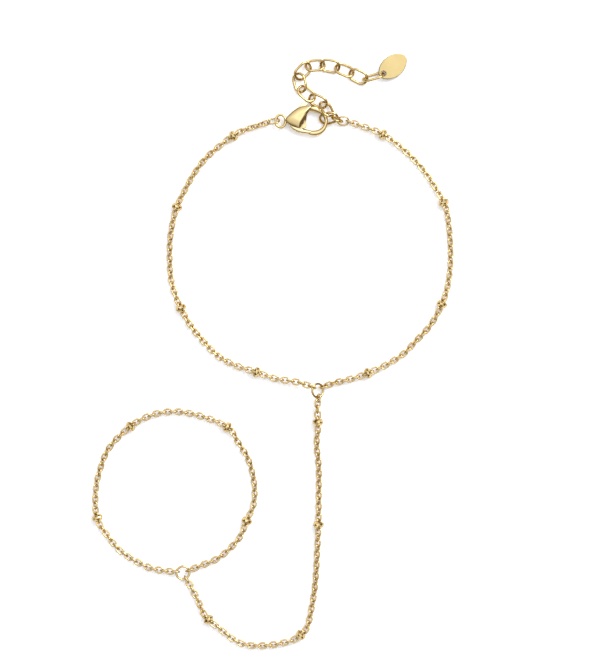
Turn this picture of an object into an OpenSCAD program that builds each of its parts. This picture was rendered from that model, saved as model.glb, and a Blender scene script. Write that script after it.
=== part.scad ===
/* [Fine chain] */
// Diameter of the wire in the fine chain
chain_wire = 0.32; // [0.3:0.01:0.33]
// Width of one fine link
chain_link_w = 1.34; // [1.3:0.01:1.4]
// Length of one fine link
chain_link_l = 1.84; // [1.8:0.02:1.88]
// Play between the wires of two joined links
play = 0.145; // [0.13:0.005:0.15]
// How far a chain leans over where it runs up or down the surface, in degrees
chain_lean = 34; // [0:1:38]
// Diameter of the plain stand-in for the finger chain
finger_chain_d = 0.8; // [0.7:0.05:0.9]

/* [Beads] */
// Diameter of a bead across its facets
bead_d = 2.02; // [1.9:0.02:2.1]
// Diameter of a bead at its two ends
bead_end_d = 1.4; // [1.34:0.02:1.46]
// Length of a bead along the chain
bead_l = 1.1; // [1.05:0.05:1.25]
// Length of the belt of facets round the middle of a bead
bead_belt_l = 0.4; // [0.3:0.05:0.5]
// Depth of the dish in each end of a bead
bead_dish = 0.25; // [0.15:0.05:0.3]
// Number of facets round a bead
bead_facets = 8; // [6:1:10]
// Clearance between the dish of a bead and the next link
bead_gap = 0.2; // [0.17:0.01:0.24]
// Clearance round the finger chain inside its beads
bead_bore_play = 0.13; // [0.1:0.01:0.14]

/* [Jump rings] */
// Outer diameter of the ring where hand and wrist chains meet
wrist_ring_d = 3; // [2.8:0.1:3.4]
// Outer diameter of the ring where hand and finger chains meet
finger_ring_d = 2.9; // [2.8:0.1:3.2]
// Wire diameter of both rings
ring_wire = 0.4; // [0.36:0.02:0.42]
// Play between a jump ring and the link that hangs on it
ring_play = 0.2; // [0.18:0.01:0.24]
// Slope of the wrist ring, in degrees
wrist_ring_tilt = 36; // [30:1:38]
// Slope of the finger ring, in degrees
finger_ring_tilt = 8; // [0:1:12]

/* [Clasp] */
// Length of the clasp from the tip of its body to the far side of its hook
clasp_l = 8; // [7.8:0.1:8.2]
// Thickness of the clasp's body
clasp_t = 2.1; // [2:0.05:2.3]
// Thickness of the clasp's lever
lever_t = 0.8; // [0.7:0.05:0.9]
// Clearance on each side of the lever
lever_play = 0.1; // [0.08:0.01:0.12]
// Diameter of the lever's pin
pin_d = 0.6; // [0.5:0.05:0.7]
// Running clearance round the pin
pin_play = 0.05; // [0.03:0.01:0.08]
// Depth of the pin's seat in each cheek of the body
pin_seat = 0.3; // [0.2:0.05:0.35]
// Height of the clasp's eye
clasp_eye_h = 2.9; // [2.7:0.1:3]
// Width of the clasp's eye
clasp_eye_w = 2.3; // [2.1:0.1:2.4]
// Wire diameter of the clasp's eye
clasp_eye_wire = 0.52; // [0.46:0.02:0.58]
// Radius of the opening inside the hook
hook_open_r = 1.72; // [1.6:0.02:1.8]
// Distance from the pin to the gap between gate and hook
gate_reach = 3.15; // [3.1:0.05:3.2]

/* [End links] */
// Length of the link between clasp and chain
clasp_link_l = 2.6; // [2.5:0.05:2.7]
// Width of the link between clasp and chain
clasp_link_w = 1.9; // [1.8:0.05:2]
// Length of the link between chain and extender
end_link_l = 2.4; // [2.3:0.05:2.6]
// Width of the link between chain and extender
end_link_w = 1.9; // [1.8:0.05:2]
// Wire diameter of both end links
end_link_wire = 0.3; // [0.28:0.01:0.32]
// Outer diameter of the small ring at the start of the extender
extender_ring_d = 2.5; // [2.4:0.1:2.7]
// Wire diameter of that ring
extender_ring_wire = 0.42; // [0.38:0.02:0.44]

/* [Extender] */
// Length of one extender link
extender_link_l = 4.04; // [4:0.02:4.1]
// Width of one extender link
extender_link_w = 2.85; // [2.75:0.05:2.9]
// Wire diameter of an extender link
extender_wire = 0.48; // [0.44:0.01:0.5]
// Length of the ring that carries the tag
tag_ring_l = 4.4; // [4.3:0.05:4.5]

/* [Tag] */
// Length of the tag
tag_l = 6.2; // [6:0.1:6.6]
// Width of the tag
tag_w = 4.1; // [3.8:0.1:4.4]
// Thickness of the tag
tag_t = 0.5; // [0.4:0.05:0.6]
// Diameter of the hole in the tag
tag_hole_d = 1; // [0.9:0.05:1.2]
// Distance from the tag's end to the middle of its hole
tag_hole_in = 0.8; // [0.75:0.05:0.95]
// How far the tag's sides would run on past its two blunt ends
tag_blunt = 0.5; // [0.2:0.1:0.8]

/* [Hidden] */
WRIST_BEADS = 8;
HAND_BEADS = 4;
FINGER_BEADS = 4;
EXTENDER_LINKS = 10;
$fn = 24;

// Routes of the chains over the surface, each point [x, y]
left_route = [
    [-2.6, 42.9], [-6.5, 41.5], [-10, 39], [-12.9, 36.4], [-15.2, 33.2], [-17.4, 29], [-18.3, 27],
    [-19.3, 22.2], [-19.5, 18.1], [-19.2, 13.7], [-18.2, 10.2], [-17.3, 8.2], [-16.1, 5.9],
    [-13.9, 2.9], [-10.2, -0.9], [-6.5, -2.8], [-2.9, -3.9], [0.5, -5.1], [4.8, -5.8]
];
right_route = [
    [12.2, -5.8], [14.4, -5.3], [17.6, -4.3], [21.4, -2.6], [24.9, -0.4], [27.2, 2], [29.9, 4.9],
    [31.7, 8], [33, 11.4], [33.7, 15.4], [33.8, 19.6], [33.5, 23.8], [32.8, 27.6], [31.4, 30.3],
    [28.7, 34.4], [25.4, 37.9], [21.2, 41.1], [16.9, 42.8]
];
hand_route = [
    [8.5, -10.8], [8.7, -13.9], [8.4, -17.6], [8.8, -21.8], [8.8, -27.8], [8.7, -33.5], [8.5, -38],
    [8.1, -44.4], [7.3, -49.5], [6.6, -52.3], [5.5, -53.6], [3.4, -54.9], [-1.8, -55.8],
    [-6.3, -55.2], [-10.6, -52], [-12.7, -50.3], [-13.9, -47.7], [-15.3, -44.9]
];
finger_route = [
    [-21, -41.5], [-24.1, -40.7], [-28.6, -38], [-31.2, -35], [-33.3, -31.5], [-33.5, -26.2],
    [-32.6, -22], [-30.8, -18], [-26.7, -14], [-23.1, -12.1], [-19.7, -11.4], [-16.2, -11.6],
    [-11.8, -12.8], [-8.2, -14.5], [-6.5, -17.2], [-4.5, -20.6], [-3.4, -25.3], [-3.6, -29.3],
    [-4.8, -31.8], [-6.3, -35.4], [-10, -39], [-13.6, -40.6]
];
// Joints of the extender from the clasp outwards: [x, y, z, roll of the link that starts there]
extender_route = [
    [10.7, 44.95, 2.3, 40], [9.85, 46.9, 1.1, -38], [7.45, 48.05, 1, 26], [5.5, 49.75, 0.85, -30],
    [4.85, 52.2, 0.85, 30], [6.65, 54.15, 0.85, -30], [9.5, 54.4, 0.85, 30], [12.35, 53.9, 0.85, -30],
    [15, 52.8, 0.85, 30], [17.55, 51.5, 0.85, 0]
];
// Shares of each strand's length at which its beads sit
left_bead_shares = [0.085, 0.33, 0.59, 0.86];
right_bead_shares = [0.115, 0.38, 0.66, 0.91];
hand_bead_shares = [0.068, 0.334, 0.614, 0.889];
finger_bead_shares = [0.206, 0.42, 0.631, 0.835];
// Places of the pieces that the chains hang on: [x, y]
wrist_ring_at = [8.6, -7.4];
finger_ring_at = [-17, -42];
clasp_at = [4.7, 44.2];
// Poses of single links: [x, y, z, turn, pitch, roll]
end_link_pose = [13.4, 43.75, 0.7, 0, 0, 20];
extender_ring_pose = [12.25, 44, 1.25, -23, -3, 108];
hooked_link_pose = [10.7, 44.2, 1.4, 15, 26, 40];
tag_ring_pose = [19.16, 52.04, 1.33, 16, 0, -65];
tag_pose = [22.81, 54.07, 0.8, 38, -8, 4];
// Where on a ring each chain hangs, in degrees
wrist_ring_left = 145;
wrist_ring_right = 40;
wrist_ring_hand = 286;
finger_ring_left = 165;
finger_ring_right = 24;
finger_ring_hand = -61;

// Sampling of the routes
route_steps = 8;
height_reach = 8;
turn_reach = 8;
tube_sides = 8;
tube_rings = 72;
section_steps = 3;

chain_step = chain_link_l - 2 * chain_wire - play;
floor_play = 0.01;
chain_rest_z = chain_link_w / 2 + floor_play;
bead_rest_z = bead_d / 2 + floor_play;
bead_link_l = bead_l - 2 * bead_dish + 2 * (bead_gap + 2 * chain_wire + play);
bead_step = bead_link_l - 2 * chain_wire - play;
wrist_ring_r = (wrist_ring_d - ring_wire) / 2;
finger_ring_r = (finger_ring_d - ring_wire) / 2;
wrist_ring_z = chain_rest_z + wrist_ring_r * cos(wrist_ring_right) * sin(wrist_ring_tilt);
finger_ring_z = chain_rest_z + finger_ring_r * cos(finger_ring_right) * sin(finger_ring_tilt);

// The clasp's own plan, from the middle of its body: x towards the hook, y towards the thumb tab
clasp_z = clasp_t / 2;
slot_t = lever_t + 2 * lever_play;
pin_at = [-0.025, -0.1125] * clasp_l;
eye_at = [-0.394, -0.0625] * clasp_l;
hook_centre = [0.4375, -0.056] * clasp_l;
slot_left = -0.19 * clasp_l;
slot_right = 0.219 * clasp_l;
slot_step_y = 0.1125 * clasp_l;
// Line of ball centres inside the body's rim: [x, y] as shares of the clasp's length
body_rim = [
    [-0.205, -0.045], [-0.15, -0.105], [-0.05, -0.155], [0.05, -0.175], [0.125, -0.155], [0.2, 0.025],
    [0.235, 0.16], [0.19, 0.225], [0.11, 0.238], [0.01, 0.205], [-0.09, 0.13], [-0.17, 0.04]
];
// Crown of the body, and the dome up to it: [share of the way to the rim, share of half the thickness]
body_crown = [0.02, 0.03];
body_dome = [[1, 0.6], [0.86, 0.76], [0.62, 0.9], [0.3, 0.985], [0, 1]];
// Sections of the hook: [x, y, half width] as shares of the clasp's length, and share of half its thickness
hook_sections = [
    [0.238, 0.2225, 0.071, 0.524], [0.3125, 0.235, 0.075, 0.524], [0.4375, 0.219, 0.075, 0.476],
    [0.5625, 0.1625, 0.0625, 0.42], [0.644, 0.081, 0.0475, 0.343], [0.685, -0.025, 0.036, 0.295],
    [0.666, -0.1375, 0.039, 0.305], [0.606, -0.2375, 0.051, 0.352], [0.5125, -0.306, 0.0625, 0.39],
    [0.4, -0.3325, 0.065, 0.4], [0.2875, -0.325, 0.0625, 0.38]
];
// Sections of the lever's gate arm: [x, y, half width] as above, and share of half the lever's thickness
arm_sections = [
    [-0.125, -0.156, 0.025, 0.8], [-0.094, -0.2, 0.05, 1], [0.0375, -0.269, 0.056, 1],
    [0.175, -0.3, 0.059, 1], [0.3, -0.315, 0.06, 1], [0.4, -0.315, 0.06, 1]
];
// Outlines of the lever's web with its thumb tab, and of the root of its arm: shares of the clasp's length
lever_web = [
    [-0.106, -0.125], [-0.075, 0.075], [0.05, 0.275], [0.105, 0.37], [0.2, 0.378], [0.235, 0.335],
    [0.194, 0.29], [0.1375, 0.075], [0.069, -0.125]
];
lever_root = [[-0.106, -0.125], [-0.1, -0.2], [0.075, -0.275], [0.125, -0.275], [0.069, -0.1125]];
boss_r = pin_d / 2 + 0.4;
gate_cut_in = 0.5;
eye_play = 0.23;
eye_wire_x = clasp_at.x + eye_at.x - (clasp_eye_w - clasp_eye_wire) / 2;
clasp_link_x = eye_wire_x - clasp_link_l / 2 + end_link_wire + clasp_eye_wire / 2 + eye_play;
clasp_link_pose = [clasp_link_x, 43.7, 1, 12, -6, -50];

// A smooth step between b and c, guided by their neighbours a and d
function bow(a, b, c, d, t) = 0.5 * (2 * b + (c - a) * t + (2 * a - 5 * b + 4 * c - d) * t * t
    + (3 * b - a - 3 * c + d) * t * t * t);
function smooth_route(p, steps) = [
    for (i = [0 : len(p) - 2], k = [0 : steps - 1])
        bow(p[max(i - 1, 0)], p[i], p[i + 1], p[min(i + 2, len(p) - 1)], k / steps),
    p[len(p) - 1]
];
function travelled(r) = [
    for (i = 0, s = 0; i < len(r); s = s + (i < len(r) - 1 ? norm(r[i + 1] - r[i]) : 0), i = i + 1) s
];
function column(s, r, k) = [for (i = [0 : len(r) - 1]) [s[i], r[i][k]]];
function fade(x) = x >= 1 ? 0 : (1 + 2 * x) * (1 - x) * (1 - x);

// A strand: [x by length, y by length, length, start height, end height, bead shares, lean at both ends]
function strand(start, points, end, shares, end_leans) = let (
    r = smooth_route(concat([[start.x, start.y]], points, [[end.x, end.y]]), route_steps),
    s = travelled(r)
) [column(s, r, 0), column(s, r, 1), s[len(s) - 1], start.z, end.z, shares, end_leans];

// An odd number of links, so that both end links stand on edge
function link_count(c) = let (beads = len(c[5]))
    1 + 2 * round((beads + (c[2] - beads * bead_step) / chain_step - 1) / 2);
function link_step(c) = (c[2] - len(c[5]) * bead_step) / (link_count(c) - len(c[5]));
function bead_links(c) = [for (share = c[5]) 2 * round(share * (link_count(c) - 1) / 2)];
function joint_s(c, i) = i * link_step(c)
    + len([for (b = bead_links(c)) if (b < i) b]) * (bead_step - link_step(c));
function flat_at(c, s) = [lookup(s, c[0]), lookup(s, c[1])];
// Share of a strand's direction that runs up or down the surface there
function upright(c, s) = let (d = flat_at(c, s + chain_link_l) - flat_at(c, s - chain_link_l))
    d.y * d.y / (d * d);
function lean(c, s) = let (first = fade(s / turn_reach), last = fade((c[2] - s) / turn_reach))
    chain_lean * upright(c, s) * (1 - first) * (1 - last) + c[6][0] * first + c[6][1] * last;
function leaning_z(angle) = (chain_link_w - chain_wire) / 2 * max(abs(sin(angle)), abs(cos(angle)))
    + chain_wire / 2 + floor_play;
function strand_z(c, s) = let (
    rest = leaning_z(lean(c, s)),
    beads = [for (b = bead_links(c)) max(0, abs(s - joint_s(c, b) - bead_step / 2) - bead_step / 2)],
    lift = (bead_rest_z - rest) * fade(min(beads) / height_reach)
) rest + lift + (c[3] - rest) * fade(s / height_reach) + (c[4] - rest) * fade((c[2] - s) / height_reach);
function strand_at(c, s) = concat(flat_at(c, s), [strand_z(c, s)]);
function joint(c, i) = strand_at(c, joint_s(c, i));

// Matrix that lays a link from joint a to joint b, rolled about its length
function laid(a, b, roll) = let (
    c = (a + b) / 2,
    t = (b - a) / norm(b - a),
    side = cross([0, 0, 1], t) / norm(cross([0, 0, 1], t)),
    w = side * cos(roll) + cross(t, side) * sin(roll),
    n = cross(t, w)
) [[t.x, w.x, n.x, c.x], [t.y, w.y, n.y, c.y], [t.z, w.z, n.z, c.z], [0, 0, 0, 1]];
function chain_link(c, i) = laid(
    joint(c, i), joint(c, i + 1), (i % 2 == 0 ? 90 : 0) + lean(c, (joint_s(c, i) + joint_s(c, i + 1)) / 2)
);

// A point on a sloping ring, and the joint of a chain that hangs on it there
function on_ring(at, z, r, tilt, angle) = [
    at.x + r * cos(angle) * cos(tilt), at.y + r * sin(angle), z - r * cos(angle) * sin(tilt)
];
function ring_joint(at, z, r, tilt, angle) = let (
    p = on_ring(at, z, r - ring_play - (ring_wire - play) / 2, tilt, angle)
) [p.x, p.y, on_ring(at, z, r, tilt, angle).z];
// How far a link leans to stand square to the ring's wire there
function hang_lean(tilt, angle) = -asin(sin(tilt) * sin(angle));
// The joint of a chain that hangs on the end of a link at this pose; side is 1 or -1
function link_joint(pose, l, wire, side) = let (reach = side * (l / 2 - wire - play / 2))
    [pose.x + reach * cos(pose[3]), pose.y + reach * sin(pose[3]), pose.z];

left = strand(
    link_joint(clasp_link_pose, clasp_link_l, end_link_wire, -1), left_route,
    ring_joint(wrist_ring_at, wrist_ring_z, wrist_ring_r, wrist_ring_tilt, wrist_ring_left),
    left_bead_shares, [-clasp_link_pose[5], hang_lean(wrist_ring_tilt, wrist_ring_left)]
);
right = strand(
    ring_joint(wrist_ring_at, wrist_ring_z, wrist_ring_r, wrist_ring_tilt, wrist_ring_right), right_route,
    link_joint(end_link_pose, end_link_l, end_link_wire, 1),
    right_bead_shares, [-hang_lean(wrist_ring_tilt, wrist_ring_right), 0]
);
hand = strand(
    ring_joint(wrist_ring_at, wrist_ring_z, wrist_ring_r, wrist_ring_tilt, wrist_ring_hand), hand_route,
    ring_joint(finger_ring_at, finger_ring_z, finger_ring_r, finger_ring_tilt, finger_ring_hand),
    hand_bead_shares,
    [-hang_lean(wrist_ring_tilt, wrist_ring_hand), hang_lean(finger_ring_tilt, finger_ring_hand)]
);
finger = strand(
    ring_joint(finger_ring_at, finger_ring_z, finger_ring_r, finger_ring_tilt, finger_ring_left),
    finger_route,
    ring_joint(finger_ring_at, finger_ring_z, finger_ring_r, finger_ring_tilt, finger_ring_right),
    finger_bead_shares,
    [-hang_lean(finger_ring_tilt, finger_ring_left), hang_lean(finger_ring_tilt, finger_ring_right)]
);

// Half of a round end, centred on the middle of the link
module link_end(l, w, wire) {
    translate([(l - w) / 2, 0, 0])
        rotate([0, 0, -90])
            rotate_extrude(angle = 180)
                translate([(w - wire) / 2, 0])
                    circle(d = wire);
}

// An oval link of round wire, lying flat with its length along x
module oval_link(l, w, wire) {
    for (turn = [0, 180])
        rotate([0, 0, turn])
            link_end(l, w, wire);
    for (side = [-1, 1])
        translate([-(l - w) / 2, side * (w - wire) / 2, 0])
            rotate([0, 90, 0])
                cylinder(d = wire, h = l - w);
}

module round_ring(d, wire) {
    rotate_extrude()
        translate([(d - wire) / 2, 0])
            circle(d = wire);
}

module posed(pose) {
    translate([pose.x, pose.y, pose.z])
        rotate([0, 0, pose[3]])
            rotate([0, -pose[4], 0])
                rotate([pose[5], 0, 0])
                    children();
}

// A closed body of elliptic sections along a level path: rows of [x, y, half width, half height]
module swept(rows, sides) {
    n = len(rows);
    rings = [
        for (i = [0 : n - 1])
            let (
                ahead = rows[min(i + 1, n - 1)] - rows[max(i - 1, 0)],
                across = [-ahead.y, ahead.x] / norm([ahead.x, ahead.y])
            )
            for (k = [0 : sides - 1])
                let (a = 360 * k / sides, off = rows[i][2] * cos(a))
                    [rows[i].x + off * across.x, rows[i].y + off * across.y, rows[i][3] * sin(a)]
    ];
    skin = [
        for (i = [0 : n - 2], k = [0 : sides - 1])
            let (a = i * sides + k, b = i * sides + (k + 1) % sides)
            for (f = [[a, a + sides, b], [b, a + sides, b + sides]]) f
    ];
    caps = [[for (k = [0 : sides - 1]) k], [for (k = [sides - 1 : -1 : 0]) (n - 1) * sides + k]];
    polyhedron(points = rings, faces = concat(skin, caps), convexity = 6);
}

// A faceted bead round the x axis: two end rings, a zigzag belt and a dish in each end
module faceted_bead() {
    n = bead_facets;
    rings = [
        [-bead_l / 2, bead_end_d / 2, 0.5], [-bead_belt_l / 2, bead_d / 2, 0],
        [bead_belt_l / 2, bead_d / 2, 0.5], [bead_l / 2, bead_end_d / 2, 0]
    ];
    points = concat(
        [
            for (r = rings, k = [0 : n - 1])
                let (a = 360 * (k + r[2]) / n) [r[0], r[1] * cos(a), r[1] * sin(a)]
        ],
        [[-bead_l / 2 + bead_dish, 0, 0], [bead_l / 2 - bead_dish, 0, 0]]
    );
    // Each band joins a ring to the next one, which is turned by half a facet
    bands = [
        for (i = [0 : 2], k = [0 : n - 1])
            let (
                late = i % 2 == 0,
                a = i * n + k, b = i * n + (k + 1) % n,
                c = (i + 1) * n + k, d = (i + 1) * n + (k + 1) % n
            )
            for (f = late ? [[a, d, b], [a, c, d]] : [[a, c, b], [b, c, d]]) f
    ];
    dishes = concat(
        [for (k = [0 : n - 1]) [k, (k + 1) % n, 4 * n]],
        [for (k = [0 : n - 1]) [3 * n + (k + 1) % n, 3 * n + k, 4 * n + 1]]
    );
    polyhedron(points = points, faces = concat(bands, dishes), convexity = 4);
}

module chain(c) {
    beads = bead_links(c);
    color("goldenrod")
        for (i = [0 : link_count(c) - 1])
            if (len([for (b = beads) if (b == i) b]) == 0)
                multmatrix(chain_link(c, i))
                    oval_link(chain_link_l, chain_link_w, chain_wire);
}

// A bead soldered on its own link
module link_bead(c, k) {
    color("gold")
        multmatrix(chain_link(c, bead_links(c)[k])) {
            oval_link(bead_link_l, chain_link_w, chain_wire);
            faceted_bead();
        }
}

// A bead bored for the finger chain's stand-in
module bored_bead(c, k) {
    color("gold")
        multmatrix(chain_link(c, bead_links(c)[k]))
            difference() {
                faceted_bead();
                rotate([0, 90, 0])
                    cylinder(d = finger_chain_d + 2 * bead_bore_play, h = 2 * bead_l, center = true);
            }
}

// A smooth tube along the finger chain's route, with the real link at each end that hangs on the ring
module finger_chain() {
    last = link_count(finger) - 1;
    tube_start = joint_s(finger, 1);
    tube_l = joint_s(finger, last) - tube_start;
    color("goldenrod") {
        round_tube(
            [for (i = [0 : tube_rings]) strand_at(finger, tube_start + tube_l * i / tube_rings)],
            finger_chain_d / 2, tube_sides
        );
        for (i = [0, last])
            multmatrix(chain_link(finger, i))
                oval_link(chain_link_l, chain_link_w, chain_wire);
    }
}

module round_tube(points, r, sides) {
    n = len(points);
    rings = [
        for (i = [0 : n - 1])
            let (
                ahead = points[min(i + 1, n - 1)] - points[max(i - 1, 0)],
                t = ahead / norm(ahead),
                side = cross([0, 0, 1], t) / norm(cross([0, 0, 1], t)),
                up = cross(t, side)
            )
            for (k = [0 : sides - 1])
                let (a = 360 * k / sides)
                    points[i] + r * (cos(a) * side + sin(a) * up)
    ];
    skin = [
        for (i = [0 : n - 2], k = [0 : sides - 1])
            let (a = i * sides + k, b = i * sides + (k + 1) % sides)
            for (f = [[a, a + sides, b], [b, a + sides, b + sides]]) f
    ];
    caps = [[for (k = [0 : sides - 1]) k], [for (k = [sides - 1 : -1 : 0]) (n - 1) * sides + k]];
    polyhedron(points = rings, faces = concat(skin, caps), convexity = 10);
}

module wrist_ring() {
    color("gold")
        translate([wrist_ring_at.x, wrist_ring_at.y, wrist_ring_z])
            rotate([0, wrist_ring_tilt, 0])
                round_ring(wrist_ring_d, ring_wire);
}

module finger_ring() {
    color("gold")
        translate([finger_ring_at.x, finger_ring_at.y, finger_ring_z])
            rotate([0, finger_ring_tilt, 0])
                round_ring(finger_ring_d, ring_wire);
}

module clasp_place() {
    translate([clasp_at.x, clasp_at.y, clasp_z])
        children();
}

module clasp_hook() {
    difference() {
        swept([
            for (s = smooth_route(hook_sections, section_steps))
                [s.x * clasp_l, s.y * clasp_l, s[2] * clasp_l, s[3] * clasp_t / 2]
        ], 12);
        translate([pin_at.x, pin_at.y, 0])
            intersection() {
                cylinder(r = gate_reach + lever_play, h = clasp_t, center = true, $fn = 96);
                translate([0, -2 * clasp_t, -clasp_t])
                    cube([2 * clasp_t, 2 * clasp_t - gate_cut_in, 2 * clasp_t]);
            }
    }
}

module clasp_cheeks() {
    difference() {
        hull()
            for (ring = body_dome, p = body_rim)
                translate(concat(clasp_l * (body_crown + ring[0] * (p - body_crown)), [0]))
                    sphere(r = ring[1] * clasp_t / 2, $fn = 32);
        translate([hook_centre.x, hook_centre.y, 0])
            cylinder(r = hook_open_r, h = 2 * clasp_t, center = true, $fn = 96);
        translate([slot_left, -clasp_t * 2, -slot_t / 2])
            cube([slot_right - slot_left, clasp_t * 4, slot_t]);
        translate([slot_left, -clasp_t * 2, -slot_t / 2])
            cube([clasp_t * 2, clasp_t * 2 + slot_step_y, slot_t]);
        translate([pin_at.x, pin_at.y, 0])
            cylinder(d = pin_d, h = slot_t + 2 * pin_seat, center = true);
    }
}

module clasp_body() {
    color("gold")
        clasp_place() {
            clasp_cheeks();
            clasp_hook();
            translate([eye_at.x, eye_at.y, 0])
                rotate([0, 0, 90])
                    oval_link(clasp_eye_h, clasp_eye_w, clasp_eye_wire);
        }
}

// The lever: boss, web and thumb tab from one plate, and the rounded gate arm
module clasp_lever() {
    color("gold")
        clasp_place()
            difference() {
                union() {
                    translate([0, 0, -lever_t / 2])
                        linear_extrude(lever_t) {
                            translate(pin_at)
                                circle(r = boss_r);
                            polygon(clasp_l * lever_web);
                            polygon(clasp_l * lever_root);
                        }
                    intersection() {
                        swept([
                            for (s = smooth_route(arm_sections, section_steps))
                                [s.x * clasp_l, s.y * clasp_l, s[2] * clasp_l, s[3] * lever_t / 2]
                        ], 12);
                        translate([pin_at.x, pin_at.y, 0])
                            cylinder(r = gate_reach, h = clasp_t, center = true, $fn = 96);
                    }
                }
                translate([pin_at.x, pin_at.y, 0])
                    cylinder(d = pin_d + 2 * pin_play, h = 2 * lever_t, center = true);
            }
}

module clasp_pin() {
    color("goldenrod")
        clasp_place()
            translate([pin_at.x, pin_at.y, 0])
                cylinder(d = pin_d, h = slot_t + 2 * pin_seat, center = true);
}

module clasp_end_link() {
    color("goldenrod")
        posed(clasp_link_pose)
            oval_link(clasp_link_l, clasp_link_w, end_link_wire);
}

module extender_end_link() {
    color("goldenrod")
        posed(end_link_pose)
            oval_link(end_link_l, end_link_w, end_link_wire);
}

module extender_ring() {
    color("goldenrod")
        posed(extender_ring_pose)
            round_ring(extender_ring_d, extender_ring_wire);
}

module extender_link(i) {
    color("goldenrod")
        if (i == 1)
            posed(hooked_link_pose)
                oval_link(extender_link_l, extender_link_w, extender_wire);
        else {
            a = extender_route[i - 2];
            b = extender_route[i - 1];
            multmatrix(laid([a.x, a.y, a.z], [b.x, b.y, b.z], a[3]))
                oval_link(extender_link_l, extender_link_w, extender_wire);
        }
}

module tag_ring() {
    color("goldenrod")
        posed(tag_ring_pose)
            oval_link(tag_ring_l, extender_link_w, extender_wire);
}

// A pointed oval plate with blunt ends and a hole in one of them
module tag() {
    point_l = tag_l + tag_blunt;
    side_r = (point_l * point_l + tag_w * tag_w) / 4 / tag_w;
    color("palegoldenrod")
        posed(tag_pose)
            difference() {
                intersection() {
                    translate([0, side_r - tag_w / 2, 0])
                        cylinder(r = side_r, h = tag_t, center = true, $fn = 96);
                    translate([0, tag_w / 2 - side_r, 0])
                        cylinder(r = side_r, h = tag_t, center = true, $fn = 96);
                    cylinder(d = tag_l, h = tag_t, center = true, $fn = 96);
                }
                translate([-tag_l / 2 + tag_hole_in, 0, 0])
                    cylinder(d = tag_hole_d, h = 2 * tag_t, center = true);
            }
}

clasp_body();
clasp_lever();
clasp_pin();
clasp_end_link();
chain(left);  // wrist_chain_left
chain(right);  // wrist_chain_right
chain(hand);  // hand_chain
finger_chain();
wrist_ring();
finger_ring();
extender_end_link();
extender_ring();
for (i = [1 : WRIST_BEADS])
    link_bead(i <= 4 ? left : right, (i - 1) % 4);
for (i = [1 : HAND_BEADS])
    link_bead(hand, i - 1);
for (i = [1 : FINGER_BEADS])
    bored_bead(finger, i - 1);
for (i = [1 : EXTENDER_LINKS])
    extender_link(i);
tag_ring();
tag();
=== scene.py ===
import bisect
import math

import bmesh
import bpy
from mathutils import Matrix, Vector


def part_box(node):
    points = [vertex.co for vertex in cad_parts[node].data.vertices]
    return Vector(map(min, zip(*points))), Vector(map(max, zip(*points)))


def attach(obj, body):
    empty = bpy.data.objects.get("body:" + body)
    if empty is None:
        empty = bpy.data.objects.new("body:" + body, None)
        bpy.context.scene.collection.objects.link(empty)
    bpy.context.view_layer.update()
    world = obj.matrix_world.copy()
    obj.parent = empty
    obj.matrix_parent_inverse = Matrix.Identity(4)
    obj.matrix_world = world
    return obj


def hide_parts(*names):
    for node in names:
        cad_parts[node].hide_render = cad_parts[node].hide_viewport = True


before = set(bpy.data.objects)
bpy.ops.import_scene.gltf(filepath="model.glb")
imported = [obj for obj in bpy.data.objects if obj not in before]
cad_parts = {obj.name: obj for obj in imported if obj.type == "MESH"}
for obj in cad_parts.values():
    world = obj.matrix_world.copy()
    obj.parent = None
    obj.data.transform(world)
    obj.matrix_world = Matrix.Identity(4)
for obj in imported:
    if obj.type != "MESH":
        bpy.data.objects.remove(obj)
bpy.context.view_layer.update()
scene = bpy.context.scene
scene.view_settings.view_transform = "Standard"
mm = 0.001

# The camera looks straight down on the bracelet from half a metre, through a long lens. The picture's
# scale was read from the wrist loop: each pixel of the 600 x 671 frame covers 0.19 mm of the table. The
# sensor's 36 mm are the frame's longer side, and origin_px is where the frame's origin lies in it.
pixel = 0.19 * mm
frame_px = (600, 671)
origin_px = (272.5, 351.5)
camera_height = 0.5
camera_data = bpy.data.cameras.new("camera")
camera_data.sensor_width = 36
camera_data.lens = camera_data.sensor_width * camera_height / (frame_px[1] * pixel)
camera = bpy.data.objects.new("camera", camera_data)
camera.location = (
    (frame_px[0] / 2 - origin_px[0]) * pixel, (origin_px[1] - frame_px[1] / 2) * pixel, camera_height
)
scene.collection.objects.link(camera)
scene.camera = camera

# The table is a sheet of matt white opal plastic, lit a little from below too. It is almost pure
# white, so only the soft shadows beside the metal show on it.
table_reach = 2
card_white = (0.93, 0.925, 0.92, 1)
sheet = bmesh.new()
bmesh.ops.create_grid(sheet, x_segments=1, y_segments=1, size=table_reach)
table_mesh = bpy.data.meshes.new("table")
sheet.to_mesh(table_mesh)
sheet.free()
table = bpy.data.objects.new("table", table_mesh)
scene.collection.objects.link(table)
card = bpy.data.materials.new("white_card")
card.use_nodes = True
card_shader = card.node_tree.nodes["Principled BSDF"]
card_shader.inputs["Base Color"].default_value = card_white
card_shader.inputs["Roughness"].default_value = 0.9
card_shader.inputs["Specular IOR Level"].default_value = 0.1
card_shader.inputs["Emission Color"].default_value = (1, 1, 1, 1)
card_shader.inputs["Emission Strength"].default_value = 0.18
table_mesh.materials.append(card)

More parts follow.
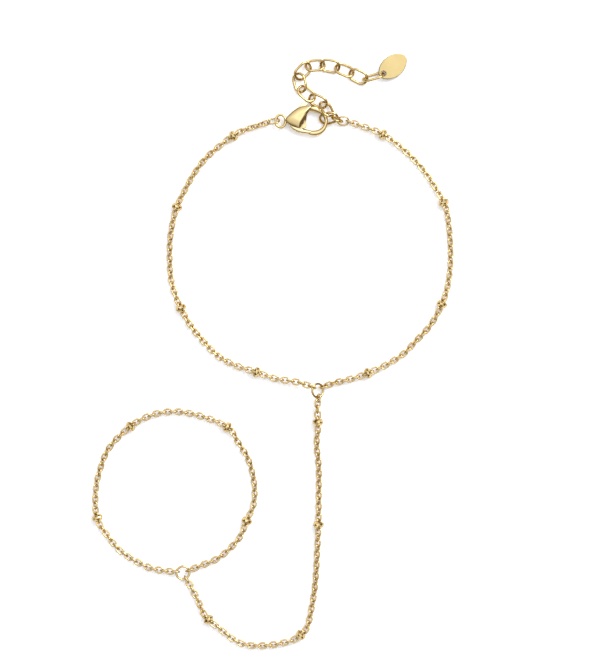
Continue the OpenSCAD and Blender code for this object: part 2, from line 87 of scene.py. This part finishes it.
# The light is a white tent that is brightest a little beyond the clasp and has a dim band round its
# sides, which puts the brown lines into polished gold. One soft lamp stands to the upper right.
tent_stops = [
    (0.0, (0.5, 0.48, 0.45)), (0.06, (0.13, 0.1, 0.07)), (0.45, (0.17, 0.13, 0.09)),
    (0.65, (1.0, 0.99, 0.97)), (0.85, (1.28, 1.32, 1.4)), (0.95, (1.7, 1.8, 2.0)), (1.0, (1.9, 2.05, 2.35)),
]
tent_lean = math.radians(17)
tent = bpy.data.worlds.new("light_tent")
scene.world = tent
tent.use_nodes = True
tent_nodes, tent_links = tent.node_tree.nodes, tent.node_tree.links
heading = tent_nodes.new("ShaderNodeTexCoord")
lean = tent_nodes.new("ShaderNodeMapping")
lean.inputs["Rotation"].default_value[0] = tent_lean
height = tent_nodes.new("ShaderNodeSeparateXYZ")
glow = tent_nodes.new("ShaderNodeValToRGB")
tent_links.new(heading.outputs["Generated"], lean.inputs["Vector"])
tent_links.new(lean.outputs["Vector"], height.inputs[0])
tent_links.new(height.outputs["Z"], glow.inputs["Fac"])
while len(glow.color_ramp.elements) < len(tent_stops):
    glow.color_ramp.elements.new(0.5)
for stop, (place, light) in zip(glow.color_ramp.elements, tent_stops):
    stop.position = place
    stop.color = (*light, 1)
tent_links.new(glow.outputs["Color"], tent_nodes["Background"].inputs["Color"])

lamp_data = bpy.data.lights.new("lamp", "AREA")
lamp_data.size = 0.34
lamp_data.energy = 3.2
lamp = bpy.data.objects.new("lamp", lamp_data)
lamp.location = (0.33, 0.35, 0.5)
lamp.rotation_euler = (-lamp.location).to_track_quat("-Z", "Y").to_euler()
scene.collection.objects.link(lamp)


# The clasp's body is one casting of gold-plated brass: two domed cheeks with a slot between them for
# the lever, a hook that runs on from their upper corner, and an eye at the narrow end. It is modelled
# in millimetres about its own middle and then set where the clasp's pin is.
pin_in_clasp = Vector((-0.2, -0.9, 0))
slot_half = 0.46
cheek_rim_z = 0.52
cheek_top_z = 1.05
cheek_rings = 29
cheek_crown = Vector((0.45, 0.35, 0))
cheek_outline = [
    (-2.15, -0.35), (-1.8, -0.95), (-1.2, -1.4), (-0.45, -1.72), (0.4, -1.93), (1.15, -1.95), (1.65, -1.72),
    (1.82, -1.2), (1.76, -0.5), (1.78, 0.2), (1.92, 0.85), (2.25, 1.35), (2.68, 1.75), (2.78, 2.1),
    (2.42, 2.3), (1.8, 2.4), (0.9, 2.27), (0.1, 1.98), (-0.8, 1.4), (-1.55, 0.72), (-2.0, 0.2),
]
outline_steps = 6
# Both cheeks are fuller on the opening's side, and fall off steeply there from a line across them
fuller = 0.55
bevel_from = Vector((1.08, 0.22))
bevel_way = Vector((0.87, -0.49))
bevel_top_z = 1
bevel_slope = 0.58
bevel_bow = 0.03
bevel_floor_z = 0.52
neck_at = Vector((-1.7, -0.38, 0))
neck_radius = 0.6
neck_sides = 24
eye_at = Vector((-3.15, -0.5, 0))
eye_length = 2.9
eye_width = 2.3
eye_wire = 0.52
eye_bend_steps = 12
# Sections of the hook from the cheeks to its tip: x, y, half width, half height
hook_sections = [
    (2.0, 1.75, 0.42, 0.42), (2.6, 1.9, 0.5, 0.45), (3.0, 1.88, 0.58, 0.56), (3.5, 1.76, 0.6, 0.53),
    (4.5, 1.3, 0.52, 0.46), (5.15, 0.65, 0.41, 0.38), (5.48, -0.2, 0.33, 0.34), (5.4, -1.12, 0.34, 0.35),
    (4.98, -2.0, 0.42, 0.38), (4.18, -2.6, 0.5, 0.41), (3.25, -2.8, 0.5, 0.42), (2.3, -2.7, 0.46, 0.4),
]
bar_sides = 16
bar_steps = 4
# The hook's tip, which lies left of and below this corner, ends a small gap beyond the lever's arm
tip_corner = Vector((4, -1.2))
gate_way = Vector((2.7, -1.63, 0)).normalized()
gate_reach = 3.18
gate_gap = 0.03
# A casting's skin is made of cells of this size, and rubbed smooth this many times
casting_grain = 0.05
casting_rubs = 5


def smooth_route(points, steps, closed=False):
    """A smooth line through the points, with this many steps from each one to the next."""
    points = [Vector(p) for p in points]
    last = len(points) - 1
    route = []
    for i in range(last + closed):
        a, b, c, d = (
            points[k % len(points)] if closed else points[min(max(k, 0), last)] for k in range(i - 1, i + 3)
        )
        for k in range(steps):
            t = k / steps
            bend = (2 * a - 5 * b + 4 * c - d) * t * t + (3 * b - a - 3 * c + d) * t * t * t
            route.append(0.5 * (2 * b + (c - a) * t + bend))
    return route if closed else route + [points[last]]


def oval_link(length, width, wire, sides, steps):
    """The mesh of a closed oval of round wire, long side along x, with this many steps to each bend."""
    link = bmesh.new()
    reach = (length - width) / 2
    start = Matrix.Translation((reach, (width - wire) / 2, 0)) @ Matrix.Rotation(math.pi / 2, 4, "Y")
    bmesh.ops.create_circle(link, segments=sides, radius=wire / 2, matrix=start)
    ends = link.edges[:]
    for side in (1, -1):
        turned = bmesh.ops.spin(
            link, geom=ends, cent=(side * reach, 0, 0), axis=(0, 0, 1), angle=-math.pi, steps=steps
        )
        ends = [g for g in turned["geom_last"] if isinstance(g, bmesh.types.BMEdge)]
        grown = bmesh.ops.extrude_edge_only(link, edges=ends)["geom"]
        moved = [g for g in grown if isinstance(g, bmesh.types.BMVert)]
        bmesh.ops.translate(link, vec=(-2 * side * reach, 0, 0), verts=moved)
        ends = [g for g in grown if isinstance(g, bmesh.types.BMEdge) and all(v in moved for v in g.verts)]
    bmesh.ops.remove_doubles(link, verts=link.verts, dist=wire / 100)
    bmesh.ops.recalc_face_normals(link, faces=link.faces)
    mesh = bpy.data.meshes.new("link")
    link.to_mesh(mesh)
    link.free()
    return mesh


def lay(shape, mesh, place):
    """Adds a copy of the mesh, at this place, to the shape."""
    copy = mesh.copy()
    copy.transform(place)
    shape.from_mesh(copy)
    bpy.data.meshes.remove(copy)


def swept_bar(shape, sections, sides):
    """A closed bar of oval sections, each (x, y, half width, half height), along a level line."""
    loops = []
    for i, section in enumerate(sections):
        along = sections[min(i + 1, len(sections) - 1)] - sections[max(i - 1, 0)]
        t = Vector((along[0], along[1], 0)).normalized()
        across = Vector((-t.y, t.x, 0))
        turn = Matrix((across, (0, 0, 1), t)).transposed().to_4x4()
        place = Matrix.Translation((section[0], section[1], 0)) @ turn
        place = place @ Matrix.Diagonal((section[2], section[3], 1, 1))
        ring = bmesh.ops.create_circle(shape, segments=sides, radius=1, matrix=place)["verts"]
        loops.append(list({e for v in ring for e in v.link_edges}))
    ends = [list({v for e in loops[k] for v in e.verts}) for k in (0, -1)]
    for one, other in zip(loops, loops[1:]):
        bmesh.ops.bridge_loops(shape, edges=one + other)
    for ring in ends:
        bmesh.ops.contextual_create(shape, geom=ring)
    return list({v for ring in loops for e in ring for v in e.verts})


def cut_end(shape, verts, point, way):
    """Cuts off what of these vertices lies beyond the point along way, and closes the cut."""
    faces = {f for v in verts for f in v.link_faces}
    edges = {e for f in faces for e in f.edges}
    cut = bmesh.ops.bisect_plane(
        shape, geom=list(verts) + list(edges) + list(faces), plane_co=point, plane_no=way, clear_outer=True
    )
    rim = [g for g in cut["geom_cut"] if isinstance(g, bmesh.types.BMEdge)]
    bmesh.ops.contextual_create(shape, geom=rim)


def finished(name, shape, body, material):
    """The mesh as an object that rides on its body, shaded smooth."""
    mesh = bpy.data.meshes.new(name)
    shape.to_mesh(mesh)
    shape.free()
    mesh.materials.append(material)
    mesh.polygons.foreach_set("use_smooth", [True] * len(mesh.polygons))
    piece = bpy.data.objects.new(name, mesh)
    scene.collection.objects.link(piece)
    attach(piece, body)
    return piece


def cast_and_polished(shape):
    """The overlapping shells of the shape as one skin, with its edges rounded by polishing."""
    rough_mesh = bpy.data.meshes.new("rough")
    shape.to_mesh(rough_mesh)
    shape.free()
    rough = bpy.data.objects.new("rough", rough_mesh)
    scene.collection.objects.link(rough)
    skin = rough.modifiers.new("skin", "REMESH")
    skin.mode = "VOXEL"
    skin.voxel_size = casting_grain
    rub = rough.modifiers.new("rub", "SMOOTH")
    rub.factor = 0.5
    rub.iterations = casting_rubs
    bpy.context.view_layer.update()
    done = rough.evaluated_get(bpy.context.evaluated_depsgraph_get())
    cast = bmesh.new()
    cast.from_mesh(done.to_mesh())
    done.to_mesh_clear()
    bpy.data.objects.remove(rough)
    bpy.data.meshes.remove(rough_mesh)
    return cast


def gold_finish(
        name, bright, deep, roughness, patch, scratch=9000, depth=0.004 * mm, grain=(1, 1, 1), turn=0
):
    """Gold plating: two tones in soft patches, and a fine grain in its polish and its surface."""
    edge_tint = (0.42, 0.27, 0.12, 1)
    material = bpy.data.materials.new(name)
    material.use_nodes = True
    nodes, links = material.node_tree.nodes, material.node_tree.links
    shader = nodes["Principled BSDF"]
    shader.inputs["Metallic"].default_value = 1
    shader.inputs["Specular Tint"].default_value = edge_tint
    where = nodes.new("ShaderNodeTexCoord")
    brushed = nodes.new("ShaderNodeMapping")
    brushed.inputs["Rotation"].default_value[2] = turn
    brushed.inputs["Scale"].default_value = grain
    links.new(where.outputs["Object"], brushed.inputs["Vector"])

    clouds = nodes.new("ShaderNodeTexNoise")
    clouds.inputs["Scale"].default_value = patch
    clouds.inputs["Detail"].default_value = 3
    links.new(where.outputs["Object"], clouds.inputs["Vector"])
    tone = nodes.new("ShaderNodeValToRGB")
    tone.color_ramp.elements[0].position = 0.3
    tone.color_ramp.elements[0].color = (*deep, 1)
    tone.color_ramp.elements[1].position = 0.62
    tone.color_ramp.elements[1].color = (*bright, 1)
    links.new(clouds.outputs["Fac"], tone.inputs["Fac"])
    links.new(tone.outputs["Color"], shader.inputs["Base Color"])

    hairlines = nodes.new("ShaderNodeTexNoise")
    hairlines.inputs["Scale"].default_value = scratch
    hairlines.inputs["Detail"].default_value = 4
    links.new(brushed.outputs["Vector"], hairlines.inputs["Vector"])
    polish = nodes.new("ShaderNodeMapRange")
    polish.inputs["To Min"].default_value = roughness[0]
    polish.inputs["To Max"].default_value = roughness[1]
    links.new(hairlines.outputs["Fac"], polish.inputs["Value"])
    links.new(polish.outputs["Result"], shader.inputs["Roughness"])

    relief = nodes.new("ShaderNodeBump")
    relief.inputs["Strength"].default_value = 0.6
    relief.inputs["Distance"].default_value = depth
    links.new(hairlines.outputs["Fac"], relief.inputs["Height"])
    links.new(relief.outputs["Normal"], shader.inputs["Normal"])
    return material


pin_low, pin_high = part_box("clasp_pin")
clasp_place = Matrix.Translation((pin_low + pin_high) / 2) @ Matrix.Scale(mm, 4)
clasp_place = clasp_place @ Matrix.Translation(-pin_in_clasp)
casting = bmesh.new()
outline = smooth_route(cheek_outline, outline_steps, closed=True)
rim_angle = math.asin(cheek_rim_z / cheek_top_z)
angles = [rim_angle + (math.pi / 2 - rim_angle) * k / cheek_rings for k in range(cheek_rings)]
for side in (1, -1):
    top = casting.faces.new([casting.verts.new((p.x, p.y, side * slot_half)) for p in outline])
    for before, angle in zip([rim_angle, *angles], angles):
        shrink = math.cos(angle) / math.cos(before)
        grown = bmesh.ops.extrude_face_region(casting, geom=[top])["geom"]
        top = next(g for g in grown if isinstance(g, bmesh.types.BMFace))
        bmesh.ops.scale(
            casting, vec=(shrink, shrink, 1), space=Matrix.Translation(-cheek_crown), verts=top.verts[:]
        )
        for v in top.verts:
            out = (v.co.xy - cheek_crown.xy).normalized()
            reach = math.cos(angle) * (1 - fuller * max(0, out.dot(bevel_way)) ** 2)
            level = cheek_top_z * math.sqrt(1 - reach * reach)
            off = v.co.xy - bevel_from
            fall = bevel_slope * off.dot(bevel_way) + bevel_bow * off.cross(bevel_way) ** 2
            v.co.z = side * min(level, max(bevel_floor_z, bevel_top_z - max(0, fall)))
bmesh.ops.recalc_face_normals(casting, faces=casting.faces)
bmesh.ops.create_uvsphere(
    casting, u_segments=neck_sides, v_segments=neck_sides // 2, radius=neck_radius,
    matrix=Matrix.Translation(neck_at)
)
hook = swept_bar(casting, smooth_route(hook_sections, bar_steps), bar_sides)
tip = [v for v in hook if v.co.x < tip_corner.x and v.co.y < tip_corner.y]
cut_end(casting, tip, pin_in_clasp + gate_way * (gate_reach + gate_gap), -gate_way)
eye_place = Matrix.Translation(eye_at) @ Matrix.Rotation(math.pi / 2, 4, "Z")
lay(casting, oval_link(eye_length, eye_width, eye_wire, bar_sides, eye_bend_steps), eye_place)
casting = cast_and_polished(casting)
bmesh.ops.transform(casting, matrix=clasp_place, verts=casting.verts)
clasp_gold = gold_finish(
    "clasp_gold", (0.68, 0.53, 0.27), (0.62, 0.46, 0.2), (0.12, 0.24), patch=350, scratch=6000,
    depth=0.003 * mm
)
clasp_casting = finished("clasp_casting", casting, "bracelet", clasp_gold)
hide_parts("clasp_body")

# The lever is a second casting on the clasp's pin: a flat plate inside the slot, a thumb tab that
# stands out above the cheeks, and a rounded gate arm that closes the hook from below.
lever_thick = 0.8
boss_radius = 0.7
boss_sides = 32
lever_outline = [
    (-0.85, -1), (-0.6, 0.6), (0.5, 2.2), (0.96, 3.02), (1.7, 3.08), (2.0, 2.72),
    (1.68, 2.32), (1.1, 0.6), (0.55, -1), (1, -2.2), (0.6, -2.2), (-0.8, -1.6),
]
# Sections of the gate arm: x, y, half width, half height
arm_sections = [
    (-1.12, -1.3, 0.32, 0.32), (-0.75, -1.7, 0.44, 0.4), (0.3, -2.22, 0.47, 0.4), (1.4, -2.46, 0.46, 0.4),
    (2.4, -2.6, 0.44, 0.4), (3.2, -2.64, 0.44, 0.4),
]
lever_shape = bmesh.new()
plate = lever_shape.faces.new([lever_shape.verts.new((x, y, -lever_thick / 2)) for x, y in lever_outline])
grown = bmesh.ops.extrude_face_region(lever_shape, geom=[plate])["geom"]
lifted = [g for g in grown if isinstance(g, bmesh.types.BMVert)]
bmesh.ops.translate(lever_shape, vec=(0, 0, lever_thick), verts=lifted)
bmesh.ops.create_cone(
    lever_shape, cap_ends=True, segments=boss_sides, radius1=boss_radius, radius2=boss_radius,
    depth=lever_thick, matrix=Matrix.Translation(pin_in_clasp)
)
arm = swept_bar(lever_shape, smooth_route(arm_sections, bar_steps), bar_sides)
cut_end(lever_shape, arm, pin_in_clasp + gate_way * gate_reach, gate_way)
lever_shape = cast_and_polished(lever_shape)
bmesh.ops.transform(lever_shape, matrix=clasp_place, verts=lever_shape.verts)
# The lever's gold is painted paler and brighter than the cheeks': painted light that stands in for the
# bright light its flat tab and gate arm catch.
lever_gold_painted_light = gold_finish(
    "lever_gold_painted_light", (0.8, 0.67, 0.41), (0.72, 0.58, 0.32), (0.12, 0.24), patch=400, scratch=6000,
    depth=0.003 * mm
)
gate_and_tab = finished("gate_and_tab", lever_shape, "lever", lever_gold_painted_light)
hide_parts("clasp_lever")


def plated(names, material):
    """The CAD pieces with these names get this finish."""
    for name in names:
        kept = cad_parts[name].data.materials
        kept.clear()
        kept.append(material)


# The pin is a short length of hard brass wire, pressed into both cheeks. The lever turns on it, and
# only its ends could be seen, so it keeps a plainer and slightly darker finish.
pin_gold = gold_finish("pin_gold", (0.64, 0.48, 0.23), (0.54, 0.38, 0.16), (0.2, 0.4), patch=2000)
plated(["clasp_pin"], pin_gold)

# The wrist chain and the hand chain are fine oval links of round wire, each soldered shut, bright
# gold plate over brass. A link lies turned against its neighbours, so the chain glitters.
chain_gold = gold_finish("chain_gold", (0.68, 0.52, 0.26), (0.59, 0.42, 0.175), (0.08, 0.2), patch=1300)
plated(["wrist_chain_left", "wrist_chain_right", "hand_chain"], chain_gold)

# Small faceted beads sit along the chains, each soldered on a longer link that runs through it. The
# facets are cut with a diamond tool, so they are brighter and smoother than the wire.
bead_gold = gold_finish(
    "bead_gold", (0.7, 0.54, 0.27), (0.6, 0.43, 0.18), (0.05, 0.14), patch=1500, depth=0.002 * mm
)
plated([f"wrist_bead_{i}" for i in range(1, 9)] + [f"hand_bead_{i}" for i in range(1, 5)], bead_gold)

# Jump rings join the three chains and start the extender, and two larger links end the wrist chain.
# All are bent from thicker wire with a duller rolled surface than the fine chain's.
ring_gold = gold_finish("ring_gold", (0.62, 0.47, 0.22), (0.53, 0.38, 0.15), (0.1, 0.22), patch=1000)
plated(["wrist_ring", "finger_ring", "extender_ring", "clasp_end_link", "extender_end_link"], ring_gold)

# The extender's wide oval links are cut from a heavier cable chain, and the tag hangs on one more
# link of the same wire, turned on edge.
extender_gold = gold_finish("extender_gold", (0.64, 0.48, 0.22), (0.54, 0.38, 0.14), (0.1, 0.22), patch=700)
plated([f"extender_link_{i}" for i in range(1, 11)] + ["tag_ring"], extender_gold)

# The tag is a pointed oval stamped from sheet brass, with a satin face brushed along its length and
# edges rounded by tumbling. It is left bare. Its colour is painted far darker than the chain's gold:
# painted shade that offsets the bright light its flat face reflects.
tag_turn = math.radians(38)
tag_edge = 0.12 * mm
sharp_angle = math.radians(40)
tag_gold = gold_finish(
    "tag_gold", (0.31, 0.24, 0.11), (0.28, 0.21, 0.085), (0.3, 0.42), patch=250, scratch=5000,
    grain=(0.12, 1, 1), turn=-tag_turn
)
plated(["tag"], tag_gold)
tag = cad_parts["tag"]
tag.modifiers.new("joined", "WELD").merge_threshold = 0.001 * mm
tumbled = tag.modifiers.new("tumbled", "BEVEL")
tumbled.width = tag_edge
tumbled.segments = 3
tumbled.limit_method = "ANGLE"
tumbled.angle_limit = sharp_angle

# The finger loop is a length of the same fine chain, closed on the lower jump ring at both ends.
# Its route, link size and lean are those of the plain tube that it stands for.
link_length = 1.84 * mm
link_width = 1.34 * mm
link_wire = 0.32 * mm
link_play = 0.145 * mm
bead_length = 1.1 * mm
bead_radius = 1.01 * mm
bead_end_radius = 0.7 * mm
bead_belt = 0.4 * mm
bead_dish = 0.25 * mm
bead_facets = 8
bead_link_length = 2.57 * mm
chain_lean = math.radians(34)
start_lean = math.radians(2.1)
end_lean = math.radians(-3.2)
# Over this length the chain rises from the table to a bead or to the ring
rise = 8 * mm
floor_play = 0.01 * mm
ring_wire = 0.4 * mm
ring_play = 0.2 * mm
ring_tilt = math.radians(8)
ring_starts = math.radians(165)
ring_ends = math.radians(24)
finger_bead_shares = (0.206, 0.42, 0.631, 0.835)
# The loop's route over the table, from the ring's left side round to its right, in metres
finger_route = [
    (-0.021, -0.0415), (-0.0241, -0.0407), (-0.0286, -0.038), (-0.0312, -0.035), (-0.0333, -0.0315),
    (-0.0335, -0.0262), (-0.0326, -0.022), (-0.0308, -0.018), (-0.0267, -0.014), (-0.0231, -0.0121),
    (-0.0197, -0.0114), (-0.0162, -0.0116), (-0.0118, -0.0128), (-0.0082, -0.0145), (-0.0065, -0.0172),
    (-0.0045, -0.0206), (-0.0034, -0.0253), (-0.0036, -0.0293), (-0.0048, -0.0318), (-0.0063, -0.0354),
    (-0.01, -0.039), (-0.0136, -0.0406),
]
route_steps = 8
link_sides = 8
link_bend_steps = 6

link_step = link_length - 2 * link_wire - link_play
bead_step = bead_link_length - 2 * link_wire - link_play
ring_low, ring_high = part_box("finger_ring")
ring_middle = (ring_low + ring_high) / 2
ring_radius = (ring_high.y - ring_low.y - ring_wire) / 2


def ring_joint(angle):
    """Where the end link hangs in the finger ring, at this angle round it."""
    reach = ring_radius - ring_play - (ring_wire - link_play) / 2
    return Vector((
        ring_middle.x + reach * math.cos(angle) * math.cos(ring_tilt),
        ring_middle.y + reach * math.sin(angle),
        ring_middle.z - ring_radius * math.cos(angle) * math.sin(ring_tilt),
    ))


finger_start, finger_end = ring_joint(ring_starts), ring_joint(ring_ends)
finger_line = smooth_route([finger_start.xy, *finger_route, finger_end.xy], route_steps)
travelled = [0.0]
for one, other in zip(finger_line, finger_line[1:]):
    travelled.append(travelled[-1] + (other - one).length)
finger_length = travelled[-1]
plain_links = (finger_length - len(finger_bead_shares) * bead_step) / link_step
link_count = 1 + 2 * round((len(finger_bead_shares) + plain_links - 1) / 2)
real_step = (finger_length - len(finger_bead_shares) * bead_step) / (link_count - len(finger_bead_shares))
bead_links = [2 * round(share * (link_count - 1) / 2) for share in finger_bead_shares]
joints = [0.0]
for i in range(link_count):
    joints.append(joints[-1] + (bead_step if i in bead_links else real_step))


def fade(x):
    """One at nothing, falling smoothly to nothing at one."""
    return 0.0 if x >= 1 else (1 + 2 * x) * (1 - x) ** 2


def flat_at(s):
    """The chain's place on the table at this length along it."""
    s = min(max(s, 0), finger_length)
    i = min(bisect.bisect_right(travelled, s), len(travelled) - 1)
    share = (s - travelled[i - 1]) / (travelled[i] - travelled[i - 1])
    return finger_line[i - 1].lerp(finger_line[i], share)


def lean_at(s):
    """How far a link leans over at this length: most where the chain runs up or down the picture."""
    first, last = fade(s / rise), fade((finger_length - s) / rise)
    run = flat_at(s + link_length) - flat_at(s - link_length)
    upright = chain_lean * run.y ** 2 / run.length_squared
    return upright * (1 - first) * (1 - last) + start_lean * first + end_lean * last


def point_at(s):
    """The chain's middle at this length along it, as high as its links and beads hold it."""
    flat = flat_at(s)
    lean = lean_at(s)
    rest = (link_width - link_wire) / 2 * max(abs(math.sin(lean)), abs(math.cos(lean)))
    rest += link_wire / 2 + floor_play
    gap = min(max(0, abs(s - joints[b] - bead_step / 2) - bead_step / 2) for b in bead_links)
    up = rest + (bead_radius + floor_play - rest) * fade(gap / rise)
    up += (finger_start.z - rest) * fade(s / rise) + (finger_end.z - rest) * fade((finger_length - s) / rise)
    return Vector((flat.x, flat.y, up))


def link_place(i):
    """The matrix that lays link i between its two joints. Every other link stands on edge."""
    a, b = point_at(joints[i]), point_at(joints[i + 1])
    roll = (math.pi / 2 if i % 2 == 0 else 0) + lean_at((joints[i] + joints[i + 1]) / 2)
    t = (b - a).normalized()
    side = Vector((0, 0, 1)).cross(t).normalized()
    w = side * math.cos(roll) + t.cross(side) * math.sin(roll)
    turn = Matrix((t, w, t.cross(w))).transposed().to_4x4()
    return Matrix.Translation((a + b) / 2) @ turn


chain_shape = bmesh.new()
one_link = oval_link(link_length, link_width, link_wire, link_sides, link_bend_steps)
for i in range(link_count):
    if i not in bead_links:
        lay(chain_shape, one_link, link_place(i))
finger_links = finished("finger_links", chain_shape, "bracelet", chain_gold)
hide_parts("finger_chain")

# The finger loop's four beads are cut as the others are: a belt of facets between two cones, with a
# dish in each end where the link comes out, and the sharp edges just taken off.
facet_edge = 0.012 * mm
end_normal = 0.99
long_link = oval_link(bead_link_length, link_width, link_wire, link_sides, link_bend_steps)
for number, i in enumerate(bead_links, 1):
    cut = bmesh.new()
    for x, radius, shift in (
        (-bead_length / 2, bead_end_radius, 0.5), (-bead_belt / 2, bead_radius, 0),
        (bead_belt / 2, bead_radius, 0.5), (bead_length / 2, bead_end_radius, 0),
    ):
        ring = Matrix.Rotation(2 * math.pi * shift / bead_facets, 4, "X") @ Matrix.Translation((x, 0, 0))
        ring = ring @ Matrix.Rotation(math.pi / 2, 4, "Y")
        bmesh.ops.create_circle(cut, segments=bead_facets, radius=radius, matrix=ring)
    bmesh.ops.convex_hull(cut, input=cut.verts)
    bmesh.ops.dissolve_limit(cut, angle_limit=math.radians(1), verts=cut.verts, edges=cut.edges)
    bmesh.ops.recalc_face_normals(cut, faces=cut.faces)
    ends = [f for f in cut.faces if abs(f.normal.x) > end_normal]
    bmesh.ops.poke(cut, faces=ends, offset=-bead_dish)
    bmesh.ops.bevel(
        cut, geom=cut.edges[:], offset=facet_edge, offset_type="OFFSET", segments=1, profile=0.5,
        affect="EDGES", material=-1
    )
    bmesh.ops.transform(cut, matrix=link_place(i), verts=cut.verts)
    bmesh.ops.recalc_face_normals(cut, faces=cut.faces)
    lay(cut, long_link, link_place(i))
    bead = finished(f"finger_bead_cut_{number}", cut, "bracelet", bead_gold)
    bead.data.polygons.foreach_set("use_smooth", [False] * len(bead.data.polygons))
    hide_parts(f"finger_bead_{number}")
